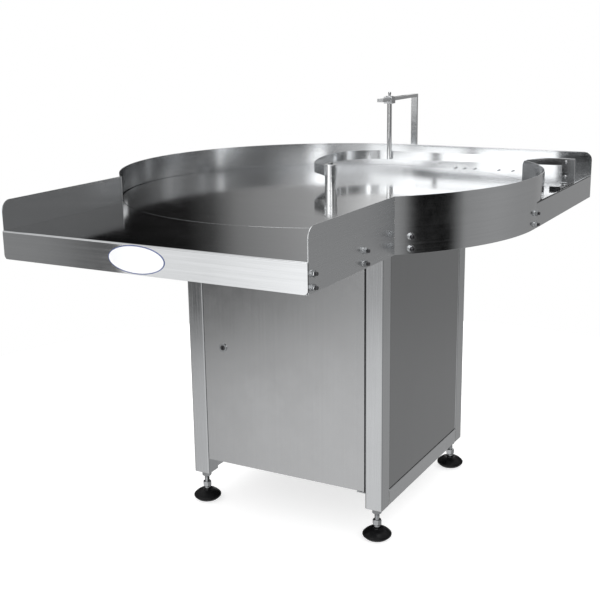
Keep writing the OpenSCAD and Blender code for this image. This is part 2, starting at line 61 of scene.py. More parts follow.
# ------------------------------------------------------------------ camera
CAM = dict(loc=(1.3604, -2.6478, 1.3433), yaw=-0.50566, pitch=0.25349, roll=-0.01438, f=1050.0, sx=-0.0001, sy=0.0)
cam_data = bpy.data.cameras.new("camera")
cam = bpy.data.objects.new("camera", cam_data)
scene.collection.objects.link(cam)
yaw, pitch, roll = CAM["yaw"], CAM["pitch"], CAM["roll"]
fwd = Vector((math.sin(yaw) * math.cos(pitch), math.cos(yaw) * math.cos(pitch), -math.sin(pitch)))
right = Vector((math.cos(yaw), -math.sin(yaw), 0.0))
up = right.cross(fwd)
c_, s_ = math.cos(roll), math.sin(roll)
r2 = c_ * right + s_ * up
u2 = -s_ * right + c_ * up
m = Matrix((r2, u2, -fwd)).transposed().to_4x4()
m.translation = Vector(CAM["loc"])
cam.matrix_world = m
cam_data.sensor_fit = "HORIZONTAL"
cam_data.sensor_width = 36.0
cam_data.lens = CAM["f"] * 36.0 / 600.0
cam_data.shift_x = CAM["sx"]
cam_data.shift_y = CAM["sy"]
cam_data.clip_start = 0.05
cam_data.clip_end = 60.0
scene.camera = cam
scene.view_settings.view_transform = "Standard"
scene.view_settings.look = "None"

# ------------------------------------------------------------------ materials


def new_mat(name):
    mat = bpy.data.materials.new(name)
    mat.use_nodes = True
    nt = mat.node_tree
    for n in list(nt.nodes):
        nt.nodes.remove(n)
    out = nt.nodes.new("ShaderNodeOutputMaterial")
    bsdf = nt.nodes.new("ShaderNodeBsdfPrincipled")
    nt.links.new(bsdf.outputs["BSDF"], out.inputs["Surface"])
    return mat, nt, bsdf


def tex(nt, scale, detail=4.0, rough=0.55, ntype="ShaderNodeTexNoise", nscale=1.0):
    tc = nt.nodes.new("ShaderNodeTexCoord")
    mp = nt.nodes.new("ShaderNodeMapping")
    mp.inputs["Scale"].default_value = scale
    nt.links.new(tc.outputs["Object"], mp.inputs["Vector"])
    n = nt.nodes.new(ntype)
    nt.links.new(mp.outputs["Vector"], n.inputs["Vector"])
    n.inputs["Scale"].default_value = nscale
    if "Detail" in n.inputs:
        n.inputs["Detail"].default_value = detail
        n.inputs["Roughness"].default_value = rough
    return n


def remap(nt, src, lo, hi, a=0.3, b=0.7):
    r = nt.nodes.new("ShaderNodeMapRange")
    r.inputs["From Min"].default_value = a
    r.inputs["From Max"].default_value = b
    r.inputs["To Min"].default_value = lo
    r.inputs["To Max"].default_value = hi
    nt.links.new(src, r.inputs["Value"])
    return r.outputs["Result"]


def mix_col(nt, fac, a, b):
    m_ = nt.nodes.new("ShaderNodeMix")
    m_.data_type = "RGBA"
    if hasattr(fac, "node"):
        nt.links.new(fac, m_.inputs[0])
    else:
        m_.inputs[0].default_value = fac
    for sock, v in ((m_.inputs[6], a), (m_.inputs[7], b)):
        if hasattr(v, "node"):
            nt.links.new(v, sock)
        else:
            sock.default_value = (*v, 1.0)
    return m_.outputs[2]


def bump(nt, bsdf, h, strength, dist, prev=None):
    b = nt.nodes.new("ShaderNodeBump")
    b.inputs["Strength"].default_value = strength
    b.inputs["Distance"].default_value = dist
    nt.links.new(h, b.inputs["Height"])
    if prev is not None:
        nt.links.new(prev, b.inputs["Normal"])
    nt.links.new(b.outputs["Normal"], bsdf.inputs["Normal"])
    return b.outputs["Normal"]


def brushed(name, col=(0.62, 0.63, 0.64), rough=0.24, grain=(3, 3, 700), amount=0.10, spread=0.06, bstr=0.10, blotch=0.06, fine=True):
    """Brushed stainless steel: fine stretched grain, slow blotches and light scuffs."""
    mat, nt, bsdf = new_mat(name)
    bsdf.inputs["Metallic"].default_value = 1.0
    g = tex(nt, grain, detail=5.0, rough=0.7)
    g2 = tex(nt, tuple(v * 0.27 for v in grain), detail=3.0, rough=0.6)
    bl = tex(nt, (2.6, 2.6, 2.6), detail=3.0, rough=0.6)
    sc = tex(nt, (9.0, 9.0, 9.0), detail=6.0, rough=0.75)
    lo = tuple(v * (1.0 - amount) for v in col)
    hi = tuple(min(1.0, v * (1.0 + amount)) for v in col)
    c0 = mix_col(nt, remap(nt, g.outputs["Fac"], 0.0, 1.0), lo, hi)
    c1 = mix_col(nt, remap(nt, g2.outputs["Fac"], 0.0, 0.35), c0, tuple(v * 0.93 for v in col))
    c2 = mix_col(nt, remap(nt, bl.outputs["Fac"], 0.0, blotch * 4), c1, tuple(v * 0.86 for v in col))
    nt.links.new(c2, bsdf.inputs["Base Color"])
    add = nt.nodes.new("ShaderNodeMath")
    add.operation = "ADD"
    nt.links.new(remap(nt, g.outputs["Fac"], rough - spread, rough + spread), add.inputs[0])
    nt.links.new(remap(nt, sc.outputs["Fac"], -0.02, 0.05), add.inputs[1])
    nt.links.new(add.outputs[0], bsdf.inputs["Roughness"])
    n1 = bump(nt, bsdf, g.outputs["Fac"], bstr, 0.00025)
    if fine:
        bump(nt, bsdf, bl.outputs["Fac"], 0.05, 0.004, n1)
    return mat


def polished(name, col=(0.78, 0.79, 0.80), rough=0.12):
    """Bright turned or plated steel with faint turning marks and small scuffs."""
    mat, nt, bsdf = new_mat(name)
    bsdf.inputs["Metallic"].default_value = 1.0
    g = tex(nt, (40, 40, 900), detail=3.0, rough=0.6)
    s = tex(nt, (60, 60, 60), detail=6.0, rough=0.8)
    c0 = mix_col(nt, remap(nt, s.outputs["Fac"], 0.0, 0.7), tuple(v * 0.82 for v in col), col)
    nt.links.new(c0, bsdf.inputs["Base Color"])
    add = nt.nodes.new("ShaderNodeMath")
    add.operation = "ADD"
    nt.links.new(remap(nt, g.outputs["Fac"], rough - 0.03, rough + 0.04), add.inputs[0])
    nt.links.new(remap(nt, s.outputs["Fac"], -0.02, 0.06), add.inputs[1])
    nt.links.new(add.outputs[0], bsdf.inputs["Roughness"])
    bump(nt, bsdf, g.outputs["Fac"], 0.06, 0.0002)
    return mat


def plastic(name, col, rough=0.5, grain=900.0, bstr=0.12, hi=1.5, coat=0.0):
    """Moulded plastic, rubber or enamel with a fine spark texture and slight rubbing."""
    mat, nt, bsdf = new_mat(name)
    g = tex(nt, (grain, grain, grain), detail=2.0, rough=0.5)
    s = tex(nt, (14, 14, 14), detail=5.0, rough=0.7)
    c0 = mix_col(nt, remap(nt, s.outputs["Fac"], 0.0, 1.0), col, tuple(min(1.0, v * hi + 0.002) for v in col))
    nt.links.new(c0, bsdf.inputs["Base Color"])
    add = nt.nodes.new("ShaderNodeMath")
    add.operation = "ADD"
    nt.links.new(remap(nt, s.outputs["Fac"], rough - 0.06, rough + 0.08), add.inputs[0])
    nt.links.new(remap(nt, g.outputs["Fac"], -0.03, 0.03), add.inputs[1])
    nt.links.new(add.outputs[0], bsdf.inputs["Roughness"])
    bump(nt, bsdf, g.outputs["Fac"], bstr, 0.0002)
    if coat:
        bsdf.inputs["Coat Weight"].default_value = coat
        bsdf.inputs["Coat Roughness"].default_value = 0.12
    return mat


M = {}
M["disc"] = brushed("steel_disc", (0.62, 0.63, 0.64), 0.085, (3.0, 260, 260), 0.07, 0.03, 0.05, 0.05)
M["plate"] = brushed("steel_plate", (0.60, 0.61, 0.62), 0.085, (3.0, 260, 260), 0.07, 0.03, 0.05, 0.05)
M["apron"] = brushed("steel_apron", (0.66, 0.67, 0.68), 0.16, (3.0, 300, 900), 0.05, 0.04, 0.06, 0.03)
M["guard"] = brushed("steel_guard", (0.62, 0.63, 0.64), 0.13, (2, 2, 520), 0.05, 0.03, 0.05, 0.03)
# the left wall is the right wall's steel painted darker: painted shade of its less lit inner face
M["wall_left"] = brushed("steel_wall_left", (0.36, 0.365, 0.37), 0.16, (400, 3.0, 900), 0.035, 0.03, 0.04, 0.03)
M["wall"] = brushed("steel_wall", (0.57, 0.58, 0.59), 0.24, (400, 3.0, 900), 0.035, 0.03, 0.04, 0.03)
M["door"] = brushed("steel_door", (0.47, 0.475, 0.48), 0.15, (900, 900, 3.0), 0.05, 0.04, 0.06, 0.03)
# the panels are the door's stainless sheet painted darker: painted shade of the sides that face away from the light
M["panel"] = brushed("steel_panel_painted_shade", (0.32, 0.325, 0.33), 0.17, (900, 900, 3.0), 0.05, 0.04, 0.06, 0.03)
M["post"] = brushed("steel_post", (0.56, 0.57, 0.58), 0.12, (500, 500, 6.0), 0.12, 0.06, 0.16, 0.12)
M["rail"] = brushed("steel_rail", (0.62, 0.63, 0.64), 0.20, (60, 60, 500), 0.10, 0.05, 0.10, 0.08)
M["strip"] = brushed("steel_strip", (0.66, 0.67, 0.68), 0.13, (2, 2, 520), 0.05, 0.03, 0.05, 0.03)
M["plain"] = brushed("steel_plain", (0.55, 0.56, 0.57), 0.34, (160, 160, 160), 0.08, 0.06, 0.12, 0.06)
M["weld"] = brushed("steel_weld", (0.50, 0.50, 0.50), 0.36, (220, 220, 220), 0.16, 0.08, 0.4, 0.10)
M["bright"] = polished("bright_steel", (0.78, 0.79, 0.80), 0.10)
M["bolt"] = polished("bolt_steel", (0.44, 0.45, 0.46), 0.07)
M["turned"] = polished("turned_steel", (0.88, 0.885, 0.89), 0.09)
# thread steel painted near black: painted shade standing in for the dark grooves of the threads
M["thread"] = polished("thread_steel_painted_shade", (0.10, 0.10, 0.105), 0.18)
M["darkbar"] = brushed("dark_bar", (0.055, 0.057, 0.06), 0.30, (200, 200, 200), 0.2, 0.06, 0.15, 0.1)
M["bronze"] = polished("bronze", (0.62, 0.42, 0.19), 0.24)
M["rotor"] = brushed("rotor_steel", (0.33, 0.33, 0.34), 0.42, (400, 60, 60), 0.16, 0.06, 0.3, 0.1)
M["enamel"] = plastic("enamel_blue_grey", (0.075, 0.10, 0.125), 0.34, 500.0, 0.10, 1.3, 0.3)
M["black"] = plastic("black_plastic", (0.012, 0.012, 0.013), 0.42, 900.0, 0.15, 1.8)
M["rubber"] = plastic("pad_black", (0.004, 0.004, 0.0045), 0.26, 700.0, 0.05, 1.5)
M["powder"] = plastic("powder_coat", (0.52, 0.53, 0.53), 0.46, 380.0, 0.35, 1.06)
M["badge"] = plastic("badge_enamel", (0.86, 0.87, 0.88), 0.16, 700.0, 0.02, 1.03, 0.6)
M["badge_rim"] = plastic("badge_rim", (0.045, 0.07, 0.20), 0.22, 700.0, 0.02, 1.3, 0.5)
for n_ in M["rubber"].node_tree.nodes:
    if n_.type == "BSDF_PRINCIPLED":
        n_.inputs["Specular IOR Level"].default_value = 0.14
M["dark_slot"] = plastic("dark_slot", (0.006, 0.006, 0.006), 0.6, 600.0, 0.1, 1.5)

# ------------------------------------------------------------------ mesh helpers


def add_obj(name, bm, mat, body, rep=(), sharp=32.0):
    bmesh.ops.recalc_face_normals(bm, faces=bm.faces)
    lim = rad(sharp)
    area_of = {f: max(f.calc_area(), 1e-12) for f in bm.faces}
    for e in bm.edges:
        e.smooth = True
        if len(e.link_faces) == 2:
            ang = e.calc_face_angle(0.0)
            a, b = area_of[e.link_faces[0]], area_of[e.link_faces[1]]
            # a wide flat beside a narrow rounded edge stays flat
            if ang > lim or (ang > rad(3.0) and max(a, b) > 9.0 * min(a, b)):
                e.smooth = False
    for f in bm.faces:
        f.smooth = True
    me = bpy.data.meshes.new(name)
    bm.to_mesh(me)
    bm.free()
    o = bpy.data.objects.new(name, me)
    scene.collection.objects.link(o)
    mats = mat if isinstance(mat, (list, tuple)) else [mat]
    for x in mats:
        me.materials.append(x)
    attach(o, body)
    if rep:
        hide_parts(*rep)
    return o


def bevel_sharp(bm, width, segs=2, angle=35.0):
    lim = rad(angle)
    es = [e for e in bm.edges if len(e.link_faces) == 2 and e.calc_face_angle(0.0) > lim]
    if es:
        bmesh.ops.bevel(bm, geom=es, offset=width, offset_type="OFFSET", segments=segs, profile=0.5, affect="EDGES", clamp_overlap=True)


def refine(node, mat, width=0.0006, segs=2, angle=35.0, name=None, sharp=32.0):
    """A copy of a CAD node with its flats joined and its edges broken, which stands for that node."""
    src = nodes[node]
    bm = bmesh.new()
    bm.from_mesh(src.data)
    bmesh.ops.remove_doubles(bm, verts=bm.verts, dist=2e-6)
    bmesh.ops.dissolve_limit(bm, angle_limit=rad(0.6), use_dissolve_boundaries=False, verts=bm.verts, edges=bm.edges)
    if width:
        bevel_sharp(bm, width, segs, angle)
    return add_obj(name or (node + "_finish"), bm, mat, src["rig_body"], (node,), sharp)


def lathe(bm, prof, n=48, at=(0, 0, 0), axis="Z", closed=True):
    """Revolve a profile [(r, h), ...] about an axis. A point with r = 0 closes an end."""
    rings = []
    at = Vector(at)

    def put(r, h, a):
        x, y = r * math.cos(a), r * math.sin(a)
        if axis == "Z":
            return at + Vector((x, y, h))
        if axis == "Y":
            return at + Vector((x, h, y))
        return at + Vector((h, x, y))

    for r, h in prof:
        if r < 1e-7:
            rings.append([bm.verts.new(put(0, h, 0))])
        else:
            rings.append([bm.verts.new(put(r, h, 2 * math.pi * i / n)) for i in range(n)])
    pairs = list(zip(rings, rings[1:]))
    if closed:
        pairs.append((rings[-1], rings[0]))
    for a, b in pairs:
        if len(a) == 1 and len(b) == 1:
            continue
        for i in range(n):
            j = (i + 1) % n
            if len(a) == 1:
                bm.faces.new((a[0], b[i], b[j]))
            elif len(b) == 1:
                bm.faces.new((a[i], a[j], b[0]))
            else:
                bm.faces.new((a[i], a[j], b[j], b[i]))


def rounded_rect(hx, hy, r, k=4):
    pts = []
    for cx, cy, a0 in ((hx - r, hy - r, 0), (-hx + r, hy - r, 90), (-hx + r, -hy + r, 180), (hx - r, -hy + r, 270)):
        for i in range(k + 1):
            a = rad(a0 + 90.0 * i / k)
            pts.append((cx + r * math.cos(a), cy + r * math.sin(a)))
    return pts


def sheet(name, path, zlo, zhi, t, mat, body, rep=(), edge=0.0005, cuts=1):
    """Upright sheet along a plan path: its middle line, lower and upper edge by function, rounded edges."""
    bm = bmesh.new()
    n = len(path)
    P = [Vector((x, y)) for x, y in path]
    secs = []
    h = t / 2
    for i in range(n):
        if i == 0:
            d = P[1] - P[0]
        elif i == n - 1:
            d = P[-1] - P[-2]
        else:
            d = (P[i + 1] - P[i]).normalized() + (P[i] - P[i - 1]).normalized()
        d.normalize()
        nn = Vector((d.y, -d.x))
        z0 = zlo(i) if callable(zlo) else zlo
        z1 = zhi(i) if callable(zhi) else zhi
        e = min(edge, (z1 - z0) * 0.3)
        prof = [(-h, z0 + e), (-h + e * 0.3, z0 + e * 0.3), (-h + e, z0), (h - e, z0), (h - e * 0.3, z0 + e * 0.3), (h, z0 + e)]
        for k in range(1, cuts + 1):
            prof.append((h, z0 + e + (z1 - z0 - 2 * e) * k / (cuts + 1)))
        prof += [(h, z1 - e), (h - e * 0.3, z1 - e * 0.3), (h - e, z1), (-h + e, z1), (-h + e * 0.3, z1 - e * 0.3), (-h, z1 - e)]
        for k in range(cuts, 0, -1):
            prof.append((-h, z0 + e + (z1 - z0 - 2 * e) * k / (cuts + 1)))
        secs.append([bm.verts.new((P[i].x + nn.x * o, P[i].y + nn.y * o, z)) for o, z in prof])
    m_ = len(secs[0])
    for a, b in zip(secs, secs[1:]):
        for k in range(m_):
            l = (k + 1) % m_
            bm.faces.new((a[k], a[l], b[l], b[k]))
    bm.faces.new(secs[0])
    bm.faces.new(list(reversed(secs[-1])))
    return add_obj(name, bm, mat, body, rep)


def arc(cx, cy, r, a0, a1, n, start=0):
    return [(cx + r * math.cos(rad(a0 + (a1 - a0) * i / n)), cy + r * math.sin(rad(a0 + (a1 - a0) * i / n))) for i in range(start, n + 1)]


def line(a, b, n, start=0):
    return [(a[0] + (b[0] - a[0]) * i / n, a[1] + (b[1] - a[1]) * i / n) for i in range(start, n + 1)]
# ------------------------------------------------------------------ CAD nodes keep their shape and get a finish
finish = {
    "frame_rails": "rail", "side_panels": "panel", "rear_panel": "panel", "table_tray": "plain", "table_ribs": "plain",
    "loading_plate": "plate", "outlet_plate": "plate", "left_wall": "wall", "right_wall": "wall", "rear_guard": "guard",
    "front_guard": "guard", "guard_brackets": "plain", "guard_bolts": "bolt", "plate_screws": "bolt", "outlet_foot": "plain",
    "badge": "badge", "drive_plate": "enamel", "bearing_housing": "enamel", "shaft_bearings": "bright", "gearbox_housing": "enamel",
    "motor_body": "enamel", "fan_cover": "black", "terminal_box": "enamel", "control_box": "powder", "cable_gland": "black",
    "hinge_brackets": "plain", "latch_keeper": "plain", "foot_jam_nuts": "bright", "leg_posts": "post",
    "disc": "disc", "disc_ribs": "plain", "hub_flange": "plain", "hub_bolts": "bolt", "main_shaft": "bright", "worm_wheel": "bronze",
    "centre_post": "bright", "worm_shaft": "bright", "motor_rotor": "rotor", "motor_fan": "black", "door_panel": "door",
    "lock_body": "bright", "lock_barrel": "bright", "speed_knob": "black", "power_rocker": "black", "guide_strip": "strip",
    "pivot_cap": "bright", "cap_bush": "bronze", "guide_rod": "bright", "clamp_block": "plain", "guide_bolts": "bolt",
    "guide_arm": "strip", "end_plate": "strip",
}
for k in ("fl", "fr", "rl", "rr"):
    finish["foot_stud_" + k] = "bright"
    finish["foot_pad_" + k] = "rubber"
for n, key in finish.items():
    o = nodes[n]
    o.data.materials.clear()
    o.data.materials.append(M[key])
# ------------------------------------------------------------------ detailed pieces
HC, TZ, SKZ, TOPZ = 0.300, 0.895, 0.827, 0.965
GR, GRO, T = 0.590, 0.592, 0.002


def thread(bm, at, r, z0, z1, pitch=0.002, depth=0.0007, n=28, per=6, axis="Z", sgn=1.0, dome=0.0):
    """A stud with a helical thread along an axis from z0 to z1."""
    at = Vector(at)
    rows = max(2, int(round((z1 - z0) / pitch * per)))
    rings = []
    for k in range(rows + 1):
        z = z0 + (z1 - z0) * k / rows
        ring = []
        fade = min(1.0, (z1 - z) / (1.5 * pitch), (z - z0) / (1.0 * pitch) + 0.3)
        for i in range(n):
            a = 2 * math.pi * i / n
            ph = (z / pitch - i / n) % 1.0
            tri = abs(2 * ph - 1.0)
            rr = r - depth * (1.0 - tri) - (1.0 - max(0.0, fade)) * depth
            x, y = rr * math.cos(a), rr * math.sin(a)
            v = Vector((x, y, z)) if axis == "Z" else (Vector((x, z * sgn, y)) if axis == "Y" else Vector((z * sgn, x, y)))
            ring.append(bm.verts.new(at + v))
        rings.append(ring)
    for a, b in zip(rings, rings[1:]):
        for i in range(n):
            j = (i + 1) % n
            bm.faces.new((a[i], a[j], b[j], b[i]))
    bm.faces.new(list(reversed(rings[0])))
    bm.faces.new(rings[-1])


def frame_of(nrm):
    w = Vector(nrm).normalized()
    t = Vector((0, 0, 1)) if abs(w.z) < 0.9 else Vector((1, 0, 0))
    u = t.cross(w).normalized()
    return u, w.cross(u), w


def rings_along(bm, at, nrm, prof, n=40, hexes=(), turn=0.0):
    """Lathe along any direction: prof = [(r, h)], every section round."""
    u, v, w = frame_of(nrm)
    at = Vector(at)
    rings = []
    for r, h in prof:
        if r < 1e-7:
            rings.append([bm.verts.new(at + w * h)])
        else:
            rings.append([bm.verts.new(at + w * h + (u * math.cos(turn + 2 * math.pi * i / n) + v * math.sin(turn + 2 * math.pi * i / n)) * r) for i in range(n)])
    for a, b in zip(rings, rings[1:]):
        for i in range(n):
            j = (i + 1) % n
            if len(a) == 1:
                bm.faces.new((a[0], b[i], b[j]))
            elif len(b) == 1:
                bm.faces.new((a[i], a[j], b[0]))
            else:
                bm.faces.new((a[i], a[j], b[j], b[i]))
    return rings


def hex_part(bm, at, nrm, af, h0, h1, ch=0.0009, turn=0.0, both=False):
    """Hexagon head or nut with the round chamfer that turned hexagons have."""
    u, v, w = frame_of(nrm)
    at = Vector(at)
    n = 48
    rin = af / 2.0

    def hex_r(a):
        k = (a % (math.pi / 3)) - math.pi / 6
        return rin / math.cos(k)

    rc = rin * 0.985
    levels = []
    if both:
        levels += [("c", rc, h0), ("m", None, h0 + ch)]
    else:
        levels += [("h", None, h0)]
    levels += [("m", None, h1 - ch), ("c", rc, h1)]
    rings = []
    for kind, r, h in levels:
        ring = []
        for i in range(n):
            a = 2 * math.pi * i / n
            hr = hex_r(a)
            if kind == "c":
                rr, hh = min(r, hr), h
            elif kind == "m":
                rr = hr
                over = (hr - rc) / (rin / math.cos(math.pi / 6) - rc)
                hh = h - (over * ch * 0.9 if h > (h0 + h1) / 2 else -over * ch * 0.9)
                hh = hh + (ch * 0.75 if h > (h0 + h1) / 2 else -ch * 0.75) * (1 - over)
            else:
                rr, hh = hr, h
            ring.append(bm.verts.new(at + w * hh + (u * math.cos(a + turn) + v * math.sin(a + turn)) * rr))
        rings.append(ring)
    for a, b in zip(rings, rings[1:]):
        for i in range(n):
            j = (i + 1) % n
            bm.faces.new((a[i], a[j], b[j], b[i]))
    bm.faces.new(list(reversed(rings[0])))
    bm.faces.new(rings[-1])


def washer(bm, at, nrm, r, h0, h1, e=0.0003):
    rings_along(bm, at, nrm, [(0, h0), (r - e, h0), (r, h0 + e), (r, h1 - e), (r - e, h1), (0, h1)], 40)


# posts: square tube with rounded corners
bm = bmesh.new()
for sx in (-1, 1):
    for sy in (-1, 1):
        cx, cy = sx * 0.275, sy * 0.275
        prof = rounded_rect(0.025, 0.025, 0.0042, 5)
        prof_in = rounded_rect(0.0243, 0.0243, 0.0038, 5)
        secs = []
        for z, pr in ((0.090, prof_in), (0.0906, prof)) + tuple((0.0906 + (0.827 - 0.0906) * k / 6, prof) for k in range(1, 7)):
            secs.append([bm.verts.new((cx + x, cy + y, z)) for x, y in pr])
        n = len(prof)
        for a, b in zip(secs, secs[1:]):
            for i in range(n):
                bm.faces.new((a[i], a[(i + 1) % n], b[(i + 1) % n], b[i]))
        bm.faces.new(list(reversed(secs[0])))
        bm.faces.new(secs[-1])
add_obj("corner_posts", bm, M["post"], "root", ("leg_posts",), sharp=50)

# upright sheets
a_r = -math.degrees(math.acos((0.393 - T) / GR))
a_l = 360 - math.degrees(math.acos((-0.417 + T) / GR))


def lw_top(path, corner, r=0.025):
    def f(i):
        d = abs(path[i][1] - corner)
        if d >= r:
            return TOPZ
        return TOPZ - r + math.sqrt(max(0.0, r * r - (r - d) ** 2))
    return f


def front_steps(y0, y1, r, n):
    ys = [y0 + r * (1 - math.cos(rad(90 * k / 10))) for k in range(0, 11)]
    ys[0] = y0
    return ys + [ys[-1] + (y1 - ys[-1]) * k / n for k in range(1, n + 1)]


ys = front_steps(-0.8645, -0.4205, 0.025, 10)
pathL = [(-0.416, y) for y in ys]
# the left wall gets the darker copy of the wall steel, which is painted shade
sheet("side_wall_left", pathL, SKZ, lw_top(pathL, -0.8645), T, M["wall_left"], "root", ("left_wall",))
ys = front_steps(-0.8645, -0.4432, 0.025, 10)
pathR = [(0.392, y) for y in ys]
sheet("side_wall_right", pathR, SKZ, lw_top(pathR, -0.8645), T, M["wall"], "root", ("right_wall",))

FEND = 42.6
pathF = arc(0, 0, GR + T / 2, a_r, 2, 52) + arc(0, 0, GR + T / 2, 2.02, FEND, 41)


def f_lo(i):
    return SKZ if i <= 52 else TZ + 0.0002


def f_hi(i):
    x, y = pathF[i]
    z = TOPZ if y < 0 else TOPZ - 0.0248 * y
    d = rad(FEND - math.degrees(math.atan2(y, x))) * GR
    r = 0.012
    if d < r:
        z -= r - math.sqrt(max(0.0, r * r - (r - d) ** 2))
    return z


sheet("front_guard_band", pathF, f_lo, f_hi, T, M["guard"], "root", ("front_guard",))

pathB = arc(0, 0, GR + T / 2, a_l, 90, 130) + [(0.592 - 0.025 * (1 - 0) + 0.0, 0.591)]
xs = [0.567 * k / 14 for k in range(1, 15)] + [0.567 + 0.025 * math.sin(rad(90 * k / 10)) for k in range(1, 11)]
pathB = arc(0, 0, GR + T / 2, a_l, 90, 130) + [(x, 0.591) for x in xs]


def b_hi(i):
    x = pathB[i][0]
    if pathB[i][1] < 0.5909 or x < 0.567:
        return TOPZ
    return TOPZ - 0.025 + math.sqrt(max(0.0, 0.025 ** 2 - (x - 0.567) ** 2))


sheet("rear_guard_band", pathB, SKZ, b_hi, T, M["guard"], "root", ("rear_guard",))

# guide strip
c2x, c2y = 0.390, 0.274
c3x, c3y = c2x + 0.460 * math.cos(rad(205)), c2y + 0.460 * math.sin(rad(205))
p3 = (c3x + 0.060 * math.cos(rad(228)), c3y + 0.060 * math.sin(rad(228)))
d3 = (-math.sin(rad(228)), math.cos(rad(228)))
pathS = (line((0.588, 0.404), (0.0, 0.404), 14) + arc(0, 0.274, 0.130, 90, 180, 40, 1) + arc(c2x, c2y, 0.520, 180, 205, 30, 1)
         + arc(c3x, c3y, 0.060, 205, 228, 8, 1) + line(p3, (p3[0] + 0.074 * d3[0], p3[1] + 0.074 * d3[1]), 4, 1))


def s_lo(i):
    return 0.937 + (0.008 * pathS[i][0] / 0.588 if pathS[i][0] > 0 and pathS[i][1] > 0.4 else 0.0)


sheet("guide_strip_band", pathS, s_lo, TOPZ, T, M["strip"], "guide", ("guide_strip",))

# plates, door, rails and the other flat pieces keep the CAD shape with broken edges
for n_, mk, wd, sg in (
    ("loading_plate", "plate", 0.0002, 1), ("outlet_plate", "plate", 0.0004, 2), ("disc", "disc", 0.0002, 1),
    # the lock body takes the darker bolt steel: painted shade for the lock's dark look
    ("frame_rails", "rail", 0.0022, 3), ("rear_panel", "panel", 0.0003, 1), ("lock_body", "bolt", 0.0007, 3),
    ("door_panel", "door", 0.0010, 2), ("end_plate", "strip", 0.0005, 2),
    ("guide_arm", "strip", 0.0006, 2), ("clamp_block", "plain", 0.0012, 3), ("hinge_brackets", "plain", 0.0005, 2),
    ("latch_keeper", "plain", 0.0004, 2), ("control_box", "powder", 0.0012, 2), ("terminal_box", "enamel", 0.0015, 2),
    ("gearbox_housing", "enamel", 0.003, 3), ("drive_plate", "plain", 0.001, 2), ("bearing_housing", "enamel", 0.0012, 2),
    ("motor_body", "enamel", 0.0005, 1), ("fan_cover", "black", 0.0008, 2), ("speed_knob", "black", 0.0010, 3),
    ("power_rocker", "black", 0.0008, 2), ("cable_gland", "black", 0.0006, 2), ("hub_flange", "plain", 0.0008, 2),
    ("table_tray", "plain", 0.0003, 1), ("table_ribs", "plain", 0.0010, 2), ("guard_brackets", "plain", 0.0005, 1),
    # the lock barrel takes the near-black thread steel: painted shade for the lock's dark look
    ("disc_ribs", "plain", 0.0005, 1), ("lock_barrel", "thread", 0.0003, 1), ("worm_wheel", "bronze", 0.0008, 2),
):
    refine(n_, M[mk], wd, sg)

# the hexagon nuts, washers and threaded tips on the outside of the walls
def nut(bm, at, nrm, af, hole, h0, h1, ch=0.0009, turn=0.0):
    """Hexagon nut with a through hole and a chamfer on both ends."""
    u, v, w = frame_of(nrm)
    at = Vector(at)
    n = 48
    rin = af / 2.0
    rc = rin * 0.985
    top_r = rin / math.cos(math.pi / 6)

    def ring(fn):
        out = []
        for i in range(n):
            a = 2 * math.pi * i / n
            r, h = fn(a)
            out.append(bm.verts.new(at + w * h + (u * math.cos(a + turn) + v * math.sin(a + turn)) * r))
        return out

    def hr(a):
        return rin / math.cos((a % (math.pi / 3)) - math.pi / 6)

    def drop(a):
        return ch * (hr(a) - rc) / (top_r - rc)

    rings = [ring(lambda a: (hole, h0 + 0.0005)), ring(lambda a: (hole + 0.0005, h0)), ring(lambda a: (rc, h0)),
             ring(lambda a: (hr(a), h0 + drop(a))), ring(lambda a: (hr(a), h1 - drop(a))), ring(lambda a: (rc, h1)),
             ring(lambda a: (hole + 0.0005, h1)), ring(lambda a: (hole, h1 - 0.0005))]
    rings.append(rings[0])
    for a, b in zip(rings, rings[1:]):
        for i in range(n):
            j = (i + 1) % n
            bm.faces.new((a[i], a[j], b[j], b[i]))


def ribbed(r, h0, h1, pitch, depth, end=0.0008):
    """Profile of a threaded rod from h0 to h1, with a rounded end."""
    pr = [(0.0, h0), (r, h0)]
    k = 0
    h = h0 + pitch * 0.5
    while h < h1 - end - pitch * 0.5:
        pr += [(r - depth, h), (r, h + pitch * 0.5)]
        h += pitch
    pr += [(r, h1 - end), (r - end * 0.5, h1 - end * 0.25), (r - end * 1.4, h1), (0.0, h1)]
    return pr


places = []
for z in (0.869, 0.840):
    for y in (-0.850, -0.607):
        places += [((0.393, y, z), (1, 0, 0)), ((-0.417, y, z), (-1, 0, 0))]
    for a in (-44.5, 0.7, 125, 165, 208):
        c, s = math.cos(rad(a)), math.sin(rad(a))
        places.append(((0.592 * c, 0.592 * s, z), (c, s, 0)))
    for x in (0.300, 0.560):
        places.append(((x, 0.592, z), (0, 1, 0)))
bw, bn, bt = bmesh.new(), bmesh.new(), bmesh.new()
for k, (at, nrm) in enumerate(places):
    washer(bw, at, nrm, 0.0085, 0.0, 0.0016)
    nut(bn, at, nrm, 0.013, 0.0040, 0.0016, 0.0080, turn=0.35 + 1.7 * k)
    rings_along(bt, at, nrm, ribbed(0.0040, -0.018, 0.0135, 0.00125, 0.0005), 20)
for z in (0.915, 0.950):
    at, nrm = (0.004, 0.592, z), (0, 1, 0)
    washer(bw, at, nrm, 0.0085, 0.0106, 0.0122)
    nut(bn, at, nrm, 0.013, 0.0040, 0.0122, 0.0187, turn=z * 9)
    rings_along(bt, at, nrm, ribbed(0.0040, 0.0, 0.022, 0.00125, 0.0005), 20)
add_obj("wall_washers", bw, M["bright"], "root", ("guard_bolts",))
add_obj("wall_nuts", bn, M["bolt"], "root", ("guard_bolts",), sharp=28)
# the studs take the near-black thread steel, painted shade of the thread grooves
add_obj("wall_studs", bt, M["thread"], "root", ("guard_bolts",), sharp=28)

# small screws of the outlet plate, with a shallow round recess
bm = bmesh.new()


